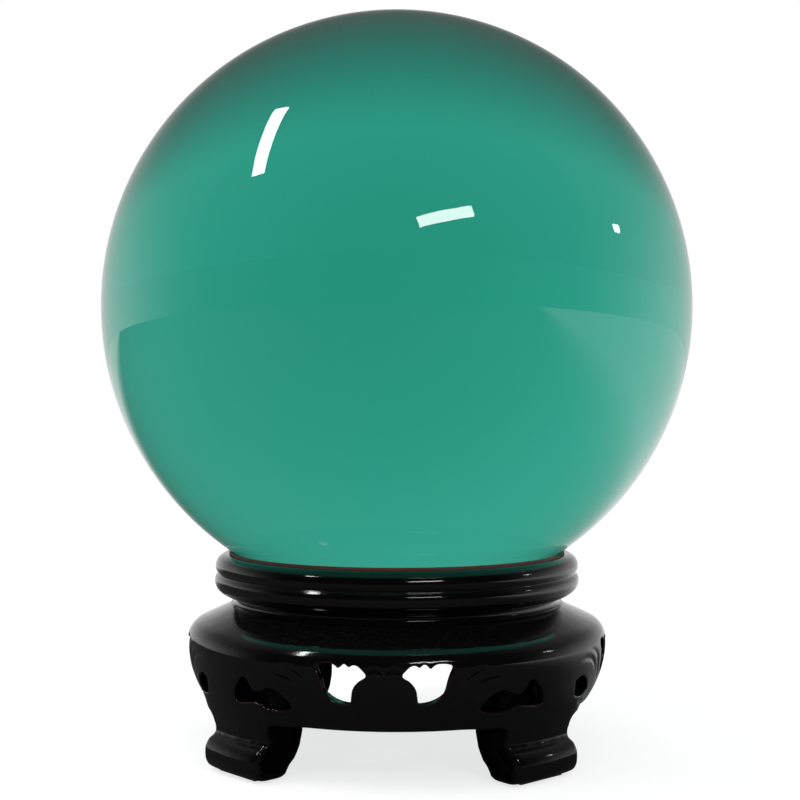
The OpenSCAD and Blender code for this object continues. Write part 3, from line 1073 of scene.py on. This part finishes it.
# %% Add the glow to the table
glow = node(tree, "ShaderNodeEmission")
add = node(tree, "ShaderNodeAddShader")
tree.links.new(with_mirror.outputs[0], glow.inputs["Strength"])
tree.links.new(shader.outputs["BSDF"], add.inputs[0])
tree.links.new(glow.outputs["Emission"], add.inputs[1])
tree.links.new(add.outputs["Shader"], tree.nodes["Material Output"].inputs["Surface"])
finish_with(paper, table)

# %% [markdown]
# In mirrored rays the room is bright behind and beside the object, and dark overhead and in front of it,
# where the camera stands. Black lacquer shows that dark front, with pale edges. Through the glass the
# room is nearly even and a little brighter high on the left, behind. Dull surfaces get one even light.

# %% The room in mirrored rays
world = bpy.data.worlds.new("room")
bpy.context.scene.world = world
world.use_nodes = True
tree = world.node_tree
shade = tree.nodes["Background"]
shade.inputs["Color"].default_value = (1, 1, 1, 1)
where = node(tree, "ShaderNodeTexCoord")
split = node(tree, "ShaderNodeSeparateXYZ")
depth = node(tree, "ShaderNodeMapRange", From_Min=-0.35, From_Max=0.6, To_Min=0.012, To_Max=0.85)
depth.interpolation_type = "SMOOTHSTEP"
overhead = node(tree, "ShaderNodeMapRange", From_Min=0.0, From_Max=0.55, To_Min=1.0, To_Max=0.2)
overhead.interpolation_type = "SMOOTHSTEP"
dimmed = node(tree, "ShaderNodeMath", operation="MULTIPLY")
tree.links.new(where.outputs["Generated"], split.inputs[0])
tree.links.new(split.outputs["Y"], depth.inputs["Value"])
tree.links.new(split.outputs["Z"], overhead.inputs["Value"])
tree.links.new(depth.outputs["Result"], dimmed.inputs[0])
tree.links.new(overhead.outputs["Result"], dimmed.inputs[1])

# %% The room through the glass
bright_side = node(tree, "ShaderNodeVectorMath", operation="DOT_PRODUCT")
bright_side.inputs[1].default_value = (-0.62, 0.45, 0.64)
through = node(tree, "ShaderNodeMapRange", From_Min=0.3, From_Max=1.0, To_Min=0.88, To_Max=1.0)
through.interpolation_type = "SMOOTHSTEP"
tree.links.new(where.outputs["Generated"], bright_side.inputs[0])
tree.links.new(bright_side.outputs["Value"], through.inputs["Value"])

# %% Choose by the kind of ray
DULL_LEVEL, EYE_LEVEL = 0.75, 1.0

seen = node(tree, "ShaderNodeLightPath")
for_gloss = node(tree, "ShaderNodeMix", data_type="FLOAT")
for_glass = node(tree, "ShaderNodeMix", data_type="FLOAT")
for_eye = node(tree, "ShaderNodeMix", data_type="FLOAT")
for_gloss.inputs["A"].default_value = DULL_LEVEL
for_eye.inputs["B"].default_value = EYE_LEVEL
tree.links.new(seen.outputs["Is Glossy Ray"], for_gloss.inputs["Factor"])
tree.links.new(dimmed.outputs[0], for_gloss.inputs["B"])
tree.links.new(seen.outputs["Is Transmission Ray"], for_glass.inputs["Factor"])
tree.links.new(for_gloss.outputs["Result"], for_glass.inputs["A"])
tree.links.new(through.outputs["Result"], for_glass.inputs["B"])
tree.links.new(seen.outputs["Is Camera Ray"], for_eye.inputs["Factor"])
tree.links.new(for_glass.outputs["Result"], for_eye.inputs["A"])
tree.links.new(for_eye.outputs["Result"], shade.inputs["Strength"])

# %% [markdown]
# Three lamps make the highlights on glass and lacquer: a long one high on the left, a narrow one in
# front and a small one on the right.

# %% Hang the lamps
def lamp(name, one_end, other_end, across, glare):
    """A flat lamp that faces the ball. Its ends are (right, up, near) in metres from the ball's middle."""
    ends = [aim.to_3x3() @ Vector((right, -near, up)) for right, up, near in (one_end, other_end)]
    middle, length = (ends[0] + ends[1]) / 2, (ends[1] - ends[0]).length
    bpy.ops.object.light_add(type="AREA", location=middle + Vector((0, 0, BALL_Z)))
    made = bpy.context.active_object
    made.name = name
    made.data.shape = "RECTANGLE"
    made.data.size = length
    made.data.size_y = across
    # Glare is the brightness of the lamp's face, whatever its size.
    made.data.energy = glare * math.pi * length * across
    # Each lamp makes one highlight, on the outside of the glass, and no second one from inside it.
    made.visible_transmission = False
    side = (ends[1] - ends[0]).normalized()
    back = (middle - middle.dot(side) * side).normalized()
    made.rotation_euler = Matrix((side, back.cross(side), back)).transposed().to_euler()


lamp("left_lamp", (-0.645, 1.128, 0.042), (-0.89, 0.835, 0.449), 0.1, 21)
lamp("front_lamp", (0.161, 0.587, 1.149), (0.556, 0.656, 0.975), 0.09, 17)
lamp("right_lamp", (1.213, 0.46, -0.015), (1.219, 0.446, -0.09), 0.05, 14)

# %% Show colours plainly
bpy.context.scene.view_settings.view_transform = "Standard"
